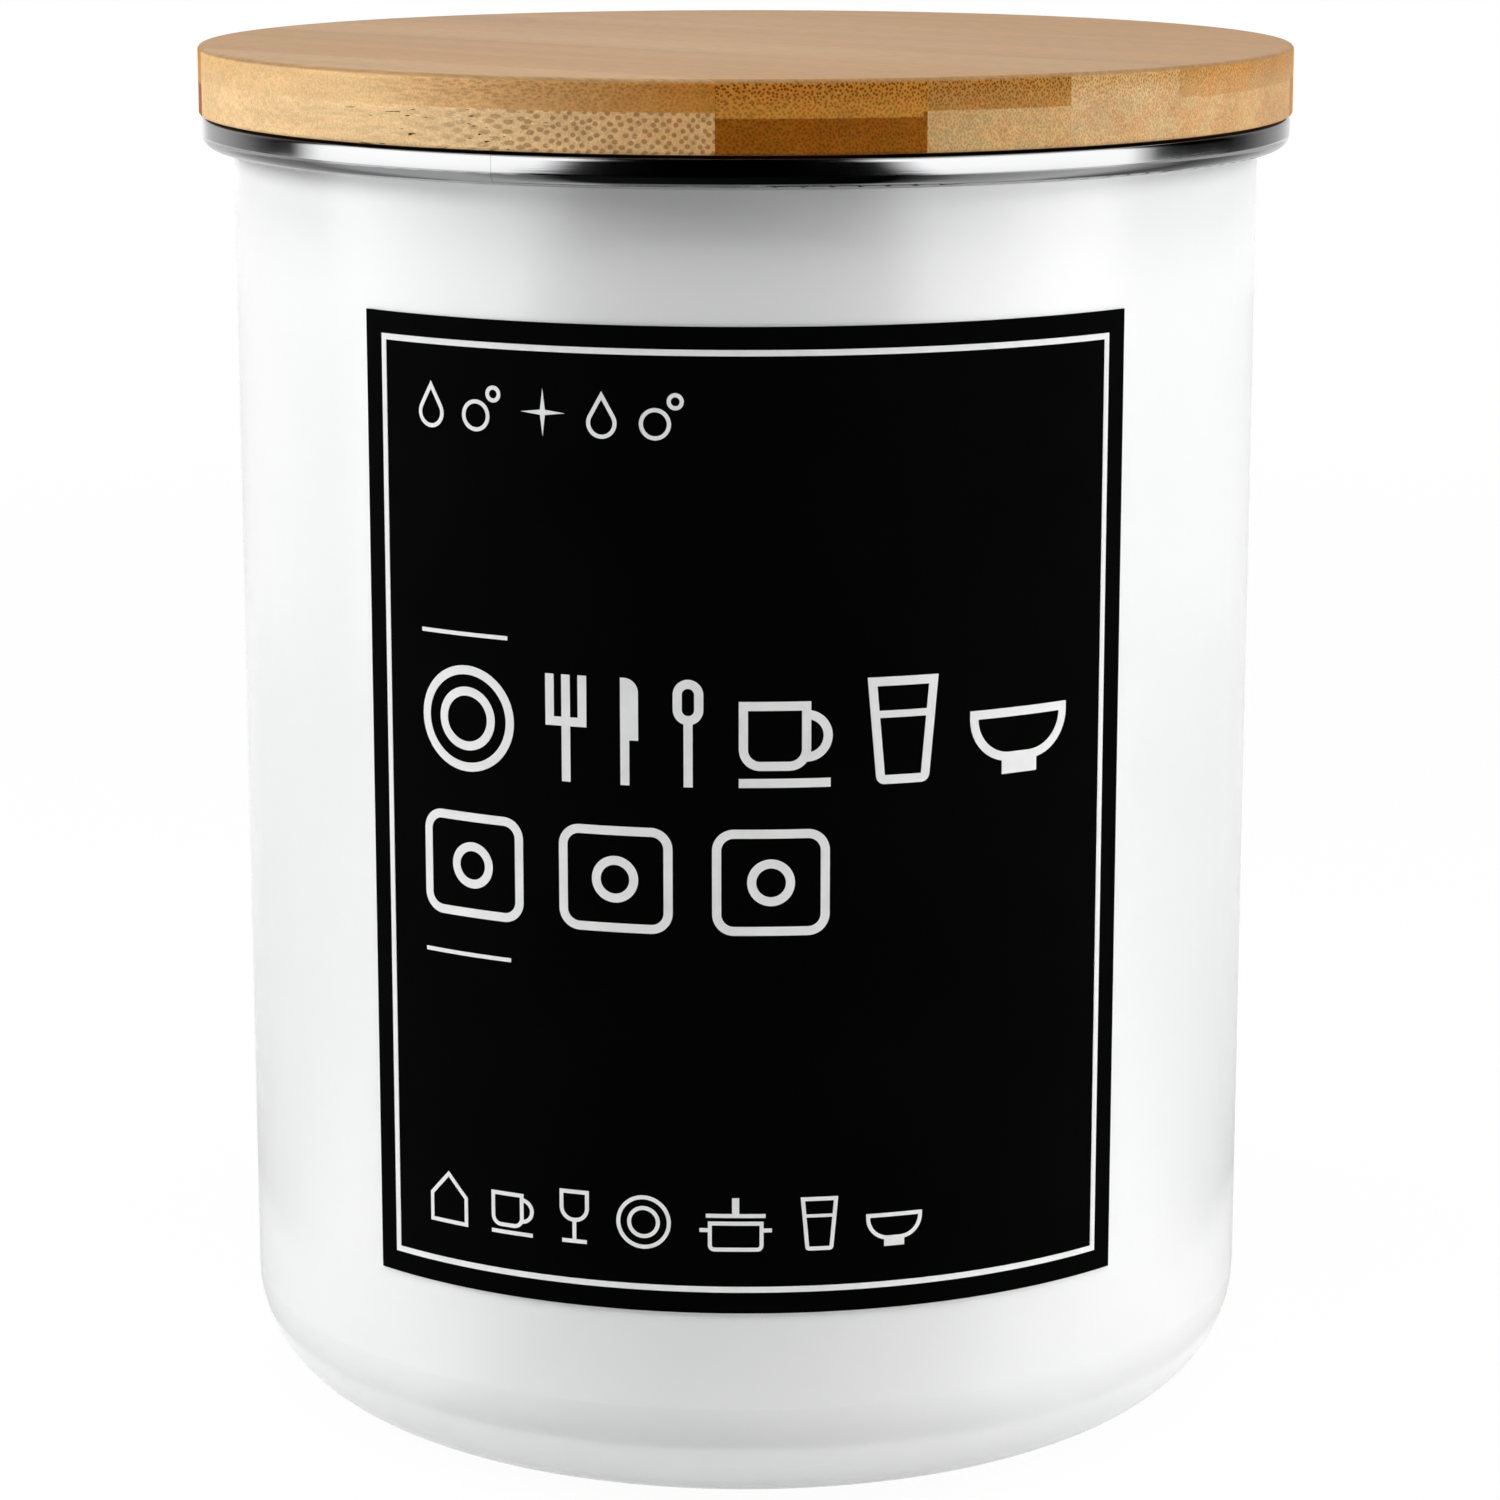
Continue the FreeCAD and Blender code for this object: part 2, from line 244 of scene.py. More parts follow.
# %% [markdown]
# Each finish starts the same way: a Principled shader, and the place in millimetres. The bump
# height is given in millimetres too, so a value of 0.01 is a hundredth of a millimetre.

# %% A material to start from
def start_finish(name):
    """A new material, its tree, its Principled shader and the place in millimetres."""
    material = bpy.data.materials.new(name)
    material.use_nodes = True
    tree = material.node_tree
    shader = tree.nodes["Principled BSDF"]
    place = use_group(tree, PLACE)["Place"]
    return material, tree, shader, place


def add_relief(tree, shader, height, depth_mm):
    """Bends the light as if the surface rose and fell by this many millimetres."""
    bump = put(tree, "ShaderNodeBump", Strength=1.0, Distance=depth_mm * MM, Height=height)
    tree.links.new(bump.outputs["Normal"], shader.inputs["Normal"])


def dress(node_name, material):
    """Puts a material on a CAD node, in place of the plain one it came with."""
    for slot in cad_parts[node_name].material_slots:
        slot.material = material
    print(node_name, "is finished in", material.name)


# %% [markdown]
# ## Bamboo lid
#
# The lid is turned from a board of two plies of bamboo, glued face to face. Each ply is made of
# strips laid side by side, and the strips cross the disc at forty degrees to X, so the edge of
# the disc shows every cut: the ends of the fibres right of the middle, their sides on the left,
# and long slanting cuts between. Bamboo has no rings. It has bundles of fibre that run the
# length of a strip and show as small dark dots where they are cut across.
#
# Each face of the lid could be given a flat drawing of its own, but the drawings would have to
# meet at the edge. A pattern in three dimensions, stretched along the strips, needs no such care
# and draws all of this by itself: dots at the ends, streaks at the sides and fine lines on the
# face.
#
# Each strip came from a stem of its own, so it has its own colour, and its own strength of dots,
# which is kept in the fourth part of the colour. In the second strip the lower piece is thinner,
# so the glue line drops there.

# %% Strips and plies
STRIP_TURN = math.radians(40)      # turns X to run along the strips
PLY_JOINT = LID_TOP - 3.0          # height of the glue line, mm
STRIP_EDGES = [-LID_RADIUS, -44.0, -30.0, -16.65, -2.7, 10.9, 24.6, 38.4]    # across, mm
UPPER_STRIPS = [(0.73, 0.485, 0.235, 0.4), (0.52, 0.225, 0.036, 1.0),
                (0.44, 0.215, 0.055, 0.9), (0.61, 0.395, 0.205, 0.6),
                (0.54, 0.300, 0.125, 0.5), (0.52, 0.300, 0.140, 0.5),
                (0.56, 0.300, 0.105, 0.5), (0.53, 0.265, 0.080, 0.5)]
LOWER_STRIPS = [(0.77, 0.530, 0.275, 0.0), (0.28, 0.088, 0.005, 1.0),
                (0.57, 0.360, 0.165, 0.7), (0.60, 0.385, 0.200, 0.6),
                (0.60, 0.375, 0.185, 0.5), (0.59, 0.360, 0.180, 0.5),
                (0.48, 0.220, 0.060, 0.6), (0.62, 0.390, 0.185, 0.5)]
FIRST_STRIP_END = (0.45, 0.16, 0.004, 1)
SECOND_STRIP_DROP = 0.5            # how much lower the glue line is in the second strip, mm
RAMP_STEPS = 255                   # a colour ramp is kept as a table with this many steps


def share_of_board(edge):
    """How far across the board a strip's edge lies, from 0 to 1."""
    return 0.5 + 0.5 * edge / LID_RADIUS


def ramp_edge(edge):
    """Where a colour ramp really changes for this edge: at the next step of its table."""
    step = math.ceil(share_of_board(edge) * RAMP_STEPS) / RAMP_STEPS
    return (2 * step - 1) * LID_RADIUS


def strip_colours(tree, across, strips):
    """The colour of the strip at this place, and the strength of its bundles."""
    position = maths(tree, "MULTIPLY_ADD", across, 0.5 / LID_RADIUS, 0.5)
    marks = [(share_of_board(edge), strip) for edge, strip in zip(STRIP_EDGES, strips)]
    ramp = ramp_through(tree, position, marks, "CONSTANT")
    return ramp.outputs["Color"], ramp.outputs["Alpha"]


print("a strip is", round(STRIP_EDGES[5] - STRIP_EDGES[4], 1), "mm wide")

# %% [markdown]
# First the material asks where each point lies in the board: how far along the strips, how far
# across them and how high, in which strip and ply, and whether the cut there shows the face,
# the side or the ends of the fibres. Every later step is painted through these masks.

# %% Where a point lies in the board
GLUE_LINE = 0.06                       # half its thickness, mm
# From a small upward look on, the rounded top edge takes the face's painted shade.
TOP_FACE = (0.02, 0.6)                 # how much a surface looks up, where the edge turns over
UNDERSIDE = (-0.985, -0.86, 1.0, 0.0)
CUT_ENDS = (0.25, 0.85, 0.15, 1.0)     # how much a surface looks along the strips


def turned_to_strips(tree, vector):
    """A vector's parts along the strips, across them and up."""
    turned = put(tree, "ShaderNodeVectorRotate", {"rotation_type": "Z_AXIS"}, Vector=vector,
                 Angle=STRIP_TURN)
    parts = put(tree, "ShaderNodeSeparateXYZ", Vector=turned.outputs["Vector"])
    return parts.outputs["X"], parts.outputs["Y"], parts.outputs["Z"]


def place_in_board(tree, place):
    """Distances in millimetres, and masks from 0 to 1, that the steps below share."""
    wood = SimpleNamespace(place=place)
    wood.along, wood.across, wood.up = turned_to_strips(tree, place)
    facing = put(tree, "ShaderNodeTexCoord").outputs["Normal"]
    end_facing, _, up_facing = turned_to_strips(tree, facing)
    top = soft_step(tree, up_facing, *TOP_FACE)
    wood.face = maths(tree, "MAXIMUM", top, soft_step(tree, up_facing, *UNDERSIDE))
    wood.edge = opposite(tree, wood.face)
    wood.cut_end = soft_step(tree, maths(tree, "ABSOLUTE", end_facing), *CUT_ENDS)
    wood.first_strip = maths(tree, "LESS_THAN", wood.across, ramp_edge(STRIP_EDGES[1]))
    two_strips = maths(tree, "LESS_THAN", wood.across, ramp_edge(STRIP_EDGES[2]))
    second_strip = maths(tree, "SUBTRACT", two_strips, wood.first_strip)
    level = maths(tree, "MULTIPLY_ADD", second_strip, SECOND_STRIP_DROP, wood.up)
    wood.upper = slope(tree, level, PLY_JOINT - GLUE_LINE, PLY_JOINT + GLUE_LINE)
    wood.lower = opposite(tree, wood.upper)
    return wood


# %% [markdown]
# The colour of a strip is not even. The first strip grows browner towards one end, the top of
# the upper ply was nearest the outside of the stem and is richer, and sap tints the cut ends in
# soft patches, some redder and some more yellow. The broad faces show long fibres from their
# sides, which are nearly one plain brown, with only a trace of each strip. That brown is painted
# darker than the cut edges because the light from above falls on them full: painted shade.

# %% The tone of the strips
UPPER_BROWNER = (0.0, 34.0, 0.0, 0.9)      # over these places along the first strip, mm
LOWER_BROWNER = (12.0, 34.0, 0.0, 0.45)
RICH_HEIGHTS = (PLY_JOINT + 0.6, PLY_JOINT + 2.6)
RICH = (0.95, 0.87, 0.64, 1)
SAP_SCALE = 0.5
SAP_SPREAD = (0.35, 0.65)
REDDER = (1.0, 0.90, 0.80, 1)
YELLOWER = (0.94, 1.0, 0.96, 1)
EVEN_TINT = (0.97, 0.96, 0.97, 1)
# Painted shade: the faces are set darker than the cut edges because the light from above falls full
# on them.
FACE_SHADED_BROWN = (0.245, 0.145, 0.068, 1)
TRACE_OF_STRIP = 0.12


def board_tone(tree, wood):
    """The colour before any dot or streak, and how strongly the bundles show."""
    upper_tone, upper_dots = strip_colours(tree, wood.across, UPPER_STRIPS)
    lower_tone, lower_dots = strip_colours(tree, wood.across, LOWER_STRIPS)
    tone = blend(tree, wood.upper, lower_tone, upper_tone)
    browner = between(tree, wood.upper, slope(tree, wood.along, *LOWER_BROWNER),
                      slope(tree, wood.along, *UPPER_BROWNER))
    tone = blend(tree, times(tree, browner, wood.first_strip), tone, FIRST_STRIP_END)
    rich = times(tree, soft_step(tree, wood.up, *RICH_HEIGHTS), wood.cut_end)
    tone = blend(tree, rich, tone, stained(tree, tone, RICH))
    sap = put(tree, "ShaderNodeTexNoise", Vector=wood.place, Scale=SAP_SCALE, Detail=3.0)
    tint = blend(tree, slope(tree, sap.outputs[0], *SAP_SPREAD), REDDER, YELLOWER)
    tone = stained(tree, tone, blend(tree, wood.cut_end, EVEN_TINT, tint))
    shaded_face_tone = blend(tree, TRACE_OF_STRIP, FACE_SHADED_BROWN, upper_tone)
    dots = between(tree, wood.upper, lower_dots, upper_dots)
    return blend(tree, wood.face, tone, shaded_face_tone), dots


# %% [markdown]
# The bundles stand in rows, each row half a step from the next. A Voronoi pattern on a lattice
# turned by an eighth of a turn gives exactly that. It needs only the distances across and up: a
# bundle runs on along the strip, so where the edge cuts it at a slant, its dot draws out into a
# dash by itself. Going along the strip the rows wander a little, as in a real stem.

# %% Bundles of fibre
WANDER = (0.06, 3.0)               # how often along a millimetre, and how many spacings far
SOLID_CORE = 0.55                  # the share of a bundle's size where it is fully dark


def build_fibre_bundles():
    """Rows of bundles, each set half a step from the next, cut by the surface: 1 inside one."""
    tree, given, result = new_group(
        "fibre_bundles",
        [("Along", "NodeSocketFloat", 0.0), ("Across", "NodeSocketFloat", 0.0),
         ("Up", "NodeSocketFloat", 0.0), ("Spacing", "NodeSocketFloat", 0.5),
         ("Row Height", "NodeSocketFloat", 0.9), ("Scatter", "NodeSocketFloat", 0.5),
         ("Size", "NodeSocketFloat", 0.35)],
        [("Dot", "NodeSocketFloat")])
    across = maths(tree, "DIVIDE", given["Across"], given["Spacing"])
    up = maths(tree, "DIVIDE", given["Up"], given["Row Height"])
    wander = put(tree, "ShaderNodeTexNoise", {"noise_dimensions": "1D"}, W=given["Along"],
                 Scale=WANDER[0], Detail=1.0).outputs[0]
    across = maths(tree, "MULTIPLY_ADD", wander, WANDER[1], across)
    lattice = put(tree, "ShaderNodeCombineXYZ", X=maths(tree, "ADD", across, up),
                  Y=maths(tree, "SUBTRACT", across, up))
    cells = put(tree, "ShaderNodeTexVoronoi", {"voronoi_dimensions": "2D"},
                Vector=lattice.outputs[0], Scale=1.0, Randomness=given["Scatter"])
    inner = maths(tree, "MULTIPLY", given["Size"], SOLID_CORE)
    dot = soft_step(tree, cells.outputs["Distance"], inner, given["Size"], 1.0, 0.0)
    tree.links.new(dot, result.inputs["Dot"])
    return tree


FIBRE_BUNDLES = build_fibre_bundles()
print("bundles come from the group", FIBRE_BUNDLES.name)

# %% [markdown]
# The lid has two fields of bundles. Fine ones are everywhere, and crowd together near the outer
# skin of the stem, at the top of a ply. The pale lower piece of the first strip was cut deeper
# in the stem and has coarse ones as well. Both fade to the left, where the edge of the lid
# turns from cutting the fibres to running along them.

# %% Dots on the edge
FINE_BUNDLES = {"Spacing": 0.36, "Row_Height": 0.52, "Scatter": 0.8, "Size": 0.42}
COARSE_BUNDLES = {"Spacing": 0.56, "Row_Height": 1.0, "Scatter": 0.45, "Size": 0.40}
SKIN_CROWDS = (PLY_JOINT - 0.5, PLY_JOINT + 3.0, 0.45, 1.0)    # by height, mm
FINE_SHOW = (-4.0, 16.0, 0.15, 1.0)                            # by the place along the strip
COARSE_SHOW = (4.0, 20.0, 0.10, 0.62)


def bundle_dots(tree, wood, strength):
    """One inside a bundle that the edge of the lid cuts across."""
    lie = {"Along": wood.along, "Across": wood.across, "Up": wood.up}
    fine = use_group(tree, FIBRE_BUNDLES, **lie, **FINE_BUNDLES)["Dot"]
    fine = times(tree, fine, strength, soft_step(tree, wood.up, *SKIN_CROWDS),
                 soft_step(tree, wood.along, *FINE_SHOW))
    coarse = use_group(tree, FIBRE_BUNDLES, **lie, **COARSE_BUNDLES)["Dot"]
    coarse = times(tree, coarse, wood.lower, wood.first_strip,
                   soft_step(tree, wood.along, *COARSE_SHOW))
    return times(tree, maths(tree, "MAXIMUM", fine, coarse), wood.edge)


cell = FINE_BUNDLES["Spacing"] * FINE_BUNDLES["Row_Height"] / 2
print("a cut end shows about", round(1 / cell, 1), "fine bundles to a square millimetre")

# %% [markdown]
# Streaks run with the fibres. They are an ordinary noise whose place was squeezed far more
# across the strips than along them. Long broad ones shade the whole board, short fine ones show
# on the faces, and the cut ends have a mealy grain between their bundles instead.

# %% Streaks and grain
MEAL_SCALE = 4.5                   # grains to a millimetre


def fibre_noise(tree, wood, length, thickness, detail=3.0):
    """Streaks of this length and thickness in millimetres that run with the fibres."""
    place = put(tree, "ShaderNodeCombineXYZ", X=maths(tree, "DIVIDE", wood.along, length),
                Y=maths(tree, "DIVIDE", wood.across, thickness),
                Z=maths(tree, "DIVIDE", wood.up, thickness))
    noise = put(tree, "ShaderNodeTexNoise", Vector=place.outputs[0], Scale=1.0, Detail=detail)
    return noise.outputs[0]


def light_and_dark(tree, wood, streaks):
    """How much lighter or darker than its tone a point is, with 1 for no change."""
    bands = fibre_noise(tree, wood, length=70.0, thickness=5.0, detail=2.0)
    lighter = times(tree, spread_noise(tree, streaks, 0.90, 1.10),
                    spread_noise(tree, bands, 0.92, 1.08))
    fibres = fibre_noise(tree, wood, length=2.2, thickness=0.28, detail=2.0)
    fibres = spread_noise(tree, fibres, -0.17, 0.17)
    lighter = maths(tree, "MULTIPLY_ADD", fibres, wood.face, lighter)
    meal = put(tree, "ShaderNodeTexNoise", Vector=wood.place, Scale=MEAL_SCALE, Detail=2.0,
               Roughness=0.7)
    meal = times(tree, spread_noise(tree, meal.outputs[0], -0.13, 0.22), wood.edge)
    return maths(tree, "ADD", lighter, meal)


# %% [markdown]
# Where the knife leaves the side of the first strip, its lower piece is ragged: some fibres
# stand a little proud, and others have torn out and left slits. The proud fibres are only painted
# paler, a painted highlight where they would catch the light, and the slits are sunk a little and
# painted dark, a painted shade. Both come from one noise, the proud ones from its lows and the
# slits from its peaks.

# %% Torn and lifted fibres
RAGGED_FROM = (-4.0, 2.0)              # by the place along the strip, mm
PROUD_HIGHLIGHT_LOWS = (0.26, 0.38, 0.6, 0.0)    # by the noise
PROUD_HIGHLIGHT_FADE = (16.0, 30.0, 1.0, 0.4)
PROUD_FIBRE_HIGHLIGHT = (0.90, 0.70, 0.42, 1)
SLIT_PEAKS = (0.67, 0.71)
SLITS_END = (14.0, 20.0, 1.0, 0.0)
SLIT_SHADE = (0.08, 0.035, 0.012, 1)


def torn_fibres(tree, wood):
    """Masks for the painted highlight on fibres that stand proud, and for the slits with their
    painted shade.
    """
    splinters = fibre_noise(tree, wood, length=2.4, thickness=0.25, detail=1.0)
    ragged = times(tree, soft_step(tree, wood.along, *RAGGED_FROM), wood.first_strip, wood.edge,
                   wood.lower)
    proud_highlight = times(tree, soft_step(tree, splinters, *PROUD_HIGHLIGHT_LOWS), ragged,
                  soft_step(tree, wood.along, *PROUD_HIGHLIGHT_FADE))
    slits = times(tree, soft_step(tree, splinters, *SLIT_PEAKS), ragged,
                  soft_step(tree, wood.along, *SLITS_END))
    return proud_highlight, slits


# %% [markdown]
# The last step brings the parts together in one material: the tone, the dots over it, the
# streaks over both, and the torn fibres on top. The relief is shallow. Dots and slits are sunk
# into it, and streaks stand up a little. Oil has soaked into the wood, so it hardly shines.

# %% Bamboo finish
BUNDLE_STAIN = (0.34, 0.22, 0.12, 1)
DOT_SINKS = 0.3                    # compared with a slit
STREAK_STANDS = 0.25


def bamboo():
    """Oiled bamboo: tone, then dots, then streaks, then torn fibres, and a shallow relief."""
    material, tree, shader, place = start_finish("bamboo")
    wood = place_in_board(tree, place)
    colour, strength = board_tone(tree, wood)
    dot = bundle_dots(tree, wood, strength)
    colour = blend(tree, dot, colour, stained(tree, colour, BUNDLE_STAIN))
    streaks = fibre_noise(tree, wood, length=30.0, thickness=0.7)
    lighter = light_and_dark(tree, wood, streaks)
    shade = put(tree, "ShaderNodeCombineColor", Red=lighter, Green=lighter, Blue=lighter)
    colour = stained(tree, colour, shade.outputs[0])
    proud_highlight, slits = torn_fibres(tree, wood)
    # Painted highlight on the proud fibres, and painted shade in the slits.
    colour = blend(tree, proud_highlight, colour, PROUD_FIBRE_HIGHLIGHT)
    colour = blend(tree, slits, colour, SLIT_SHADE)
    fill(tree, shader.inputs["Base Color"], colour)
    fill(tree, shader.inputs["Roughness"], spread_noise(tree, streaks, 0.42, 0.52))
    shader.inputs["Specular IOR Level"].default_value = 0.06
    sunk = maths(tree, "MAXIMUM", times(tree, dot, DOT_SINKS), slits)
    height = maths(tree, "MULTIPLY_ADD", streaks, STREAK_STANDS, opposite(tree, sunk))
    add_relief(tree, shader, height, depth_mm=0.05)
    return material


dress("bamboo_lid", bamboo())


# %% [markdown]
# ## White enamel
#
# The can is coated in glass, fused to the steel in a kiln. The coat is thick enough to hide
# the metal, nearly mirror smooth, and it has the faint waviness of melted glass. It could be a
# clear coat over matt white, but the glass and its white are one layer here, so one bright base
# with a low roughness is nearer to it. The waviness is the shared orange peel, very shallow and
# about five millimetres from crest to crest.
#
# Enamel, vinyl, ink and silicone are all made by one recipe: two close colours in clouds, a
# gloss that varies a little, and a wavy skin. So the recipe is a function, and each material
# gives it its own sizes.

# %% A recipe for smooth skins, and the enamel
def smooth_skin(name, clouds, colours, gloss, waves, depth_mm):
    """Clouds of two colours; gloss is (cloud size, low, high), waves (wave size, grit)."""
    material, tree, shader, place = start_finish(name)
    tint = use_group(tree, UNEVEN_GLOSS, Place=place, Cloud_Size=clouds, Low=0.0, High=1.0)
    colour = blend(tree, tint["Value"], *colours)
    roughness = use_group(tree, UNEVEN_GLOSS, Place=place, Cloud_Size=gloss[0], Low=gloss[1],
                          High=gloss[2])
    skin = use_group(tree, ORANGE_PEEL, Place=place, Wave_Size=waves[0], Grit=waves[1])
    fill(tree, shader.inputs["Base Color"], colour)
    fill(tree, shader.inputs["Roughness"], roughness["Value"])
    add_relief(tree, shader, skin["Height"], depth_mm)
    return material, shader


def white_enamel():
    """Fused glass: two near whites and a high gloss."""
    near_whites = ((0.88, 0.885, 0.89, 1), grey(0.9))
    material, shader = smooth_skin("white_enamel", 35.0, near_whites, gloss=(18.0, 0.16, 0.22),
                                   waves=(5.0, 0.03), depth_mm=0.02)
    shader.inputs["IOR"].default_value = 1.6
    shader.inputs["Specular IOR Level"].default_value = 1.0
    return material


dress("canister_body", white_enamel())


# %% [markdown]
# ## Polished steel rim
#
# The band over the mouth is bright stainless steel, buffed round and round. It is a full metal
# with very low roughness, so what shows on it is the room: bright sides, and the dark gaps
# between them. Three small things tell that it was rolled from a strip: a slight barrel, a
# joint and its turning marks.
#
# The barrel comes first. The outer wall bulges by a few hundredths of a millimetre. That could
# be modelled, but it is far too little for the mesh, and yet enough to tip a mirror by a degree
# or two, so it is given to the relief.

# %% The barrel of the band
WALL_MIDDLE = RIM_TOP - 1.15       # height of the middle of the band's outer wall, mm
CROWN_RADIUS = 45.0                # radius of the barrelling, mm
CROWN_REACH = (-2.0, 0.6)          # how far below and above the middle it runs, mm
OUTER_WALL = (RIM_RADIUS - 0.8, RIM_RADIUS - 0.2)


def barrelled_wall(tree, place):
    """The height, in millimetres, that rolling adds across the outer wall of the band."""
    parts = put(tree, "ShaderNodeSeparateXYZ", Vector=place)
    level = put(tree, "ShaderNodeCombineXYZ", X=parts.outputs["X"], Y=parts.outputs["Y"])
    radius = put(tree, "ShaderNodeVectorMath", {"operation": "LENGTH"}, Vector=level.outputs[0])
    outside = soft_step(tree, radius.outputs["Value"], *OUTER_WALL)
    offset = maths(tree, "SUBTRACT", parts.outputs["Z"], WALL_MIDDLE)
    offset = maths(tree, "MAXIMUM", offset, CROWN_REACH[0])
    offset = maths(tree, "MINIMUM", offset, CROWN_REACH[1])
    return times(tree, offset, offset, -0.5 / CROWN_RADIUS, outside)


bulge = CROWN_REACH[0] ** 2 / (2 * CROWN_RADIUS)
print("the foot of the wall stands back by", round(bulge, 3), "mm")

# %% [markdown]
# The two ends of the band meet in a hairline, left of the middle. It is the place where a plane
# that stands upright through the axis, turned by the joint's angle, cuts the front of the ring.

# %% The joint of the band
JOINT_TURN = math.radians(-25)         # round from the front
JOINT_LINE = (0.04, 0.10, 1.0, 0.0)    # by the distance from its middle, mm


def butt_joint(tree, place):
    """One on the hairline where the two ends of the band meet."""
    parts = put(tree, "ShaderNodeSeparateXYZ", Vector=place)
    turned_x = maths(tree, "MULTIPLY", parts.outputs["X"], math.cos(JOINT_TURN))
    turned_y = maths(tree, "MULTIPLY", parts.outputs["Y"], math.sin(JOINT_TURN))
    sideways = maths(tree, "ABSOLUTE", maths(tree, "ADD", turned_x, turned_y))
    in_front = maths(tree, "LESS_THAN", parts.outputs["Y"], 0.0)
    return times(tree, soft_step(tree, sideways, *JOINT_LINE), in_front)


print("the ends meet", round(RIM_RADIUS * math.sin(-JOINT_TURN), 1), "mm left of the middle")

# %% [markdown]
# Fine turning marks run round the band, drawn by a noise that changes with height and hardly at
# all round the ring. The crease where the lid comes down on the band, and the tuck under its
# foot, are too narrow for the light to get out of again. Ambient occlusion finds such places,
# and there the metal's colour is painted nearly black: painted shade.

# %% Steel finish
STEEL = (0.48, 0.48, 0.485, 1)
STEEL_JOINT = (0.39, 0.39, 0.395, 1)
TURNING = (0.05, 0.05, 12.0)       # turning marks to a millimetre along X, along Y and up
MARK_DEPTH = 0.001                 # mm
CREASE_SHADE_REACH = 1.2 * MM
CREASE_SHADE_OPENS = (0.55, 0.85)


def polished_steel():
    """Buffed stainless steel with turning marks, a slight barrel, a butt joint and painted shade in
    its creases.
    """
    material, tree, shader, place = start_finish("polished_steel")
    gloss = use_group(tree, UNEVEN_GLOSS, Place=place, Cloud_Size=9.0, Low=0.07, High=0.12)
    squeezed = put(tree, "ShaderNodeVectorMath", {"operation": "MULTIPLY"}, Vector=place)
    squeezed.inputs[1].default_value = TURNING
    turning = put(tree, "ShaderNodeTexNoise", Vector=squeezed.outputs["Vector"], Scale=1.0,
                  Detail=2.0)
    crease_shade = put(tree, "ShaderNodeAmbientOcclusion", {"samples": 8}, Distance=CREASE_SHADE_REACH)
    open_to_room = soft_step(tree, crease_shade.outputs["AO"], *CREASE_SHADE_OPENS)
    steel = blend(tree, butt_joint(tree, place), STEEL, STEEL_JOINT)
    # Painted shade: where ambient occlusion finds a crease, the steel's colour goes nearly black.
    fill(tree, shader.inputs["Base Color"], blend(tree, open_to_room, grey(0.01), steel))
    shader.inputs["Metallic"].default_value = 1.0
    fill(tree, shader.inputs["Roughness"], gloss["Value"])
    height = maths(tree, "MULTIPLY_ADD", turning.outputs[0], MARK_DEPTH,
                   barrelled_wall(tree, place))
    add_relief(tree, shader, height, depth_mm=1.0)
    return material


dress("rim_band", polished_steel())


# %% [markdown]
# ## Black vinyl label and its white ink
#
# The label is a calendered vinyl sheet: deep black, satin rather than glossy, with a fine
# rolled grain. The ink is a thin opaque white that lies a few hundredths of a millimetre
# proud, and it is more matt than the enamel around the label. The print could be a mask in the
# label's own material, but its marks are solids in the frame, with sharp edges at any distance,
# so the ink only needs a finish of its own.

# %% Label finishes
def black_vinyl():
    """Deep black satin sheet with a rolled grain."""
    blacks = (grey(0.0006), grey(0.001))
    material, shader = smooth_skin("black_vinyl", 14.0, blacks, gloss=(8.0, 0.6, 0.68),
                                   waves=(0.6, 0.5), depth_mm=0.004)
    shader.inputs["Specular IOR Level"].default_value = 0.02
    return material


def white_ink():
    """Matt opaque ink that covers a little unevenly."""
    whites = (grey(0.8), grey(0.86))
    material, shader = smooth_skin("white_ink", 3.0, whites, gloss=(6.0, 0.5, 0.6),
                                   waves=(0.5, 0.4), depth_mm=0.003)
    shader.inputs["Specular IOR Level"].default_value = 0.3
    return material


dress("front_label", black_vinyl())
dress("label_print", white_ink())


# %% [markdown]
# ## Silicone seal
#
# The seal is food-grade silicone, milky and slightly see-through, with the dull skin that the
# mould leaves on it. Plain transmission would make it look like glass. Light that enters
# silicone spreads, so it has a little subsurface scattering instead.

# %% Silicone finish
def milky_silicone():
    """Soft translucent rubber with a moulded skin."""
    milks = ((0.72, 0.73, 0.72, 1), (0.78, 0.79, 0.78, 1))
    material, shader = smooth_skin("milky_silicone", 10.0, milks, gloss=(5.0, 0.4, 0.5),
                                   waves=(0.8, 0.3), depth_mm=0.006)
    shader.inputs["Subsurface Weight"].default_value = 0.3
    shader.inputs["Subsurface Scale"].default_value = 1.5 * MM
    return material


dress("lid_seal", milky_silicone())


# %% [markdown]
# ## The studio
#
# The canister stands on a white table that runs out far behind it. The table and the air are
# shown at full white to the camera and to mirrors, but they light the canister only by what
# really falls on them, so a white ground never over-lights a white can. Close to the canister
# the camera sees a few parts in a hundred of the table's real shading, which keeps a trace of
# the canister's shadow; far off the table is pure white, so it meets the air without a line.
#
# The light that the table throws back is set by the distance from the canister, through the
# colour that lighting rays see there. That colour is painted shade: darker near the foot, where
# the can hides part of the table from itself, and darker far out, where the table stands for a dim
# room.

# %% Helpers for the studio
def seen_directly(tree):
    """One for rays from the camera, from a mirror or through glass; nought for lighting rays."""
    paths = put(tree, "ShaderNodeLightPath")
    seen = maths(tree, "MAXIMUM", paths.outputs["Is Camera Ray"], paths.outputs["Is Glossy Ray"])
    return maths(tree, "MAXIMUM", seen, paths.outputs["Is Transmission Ray"])


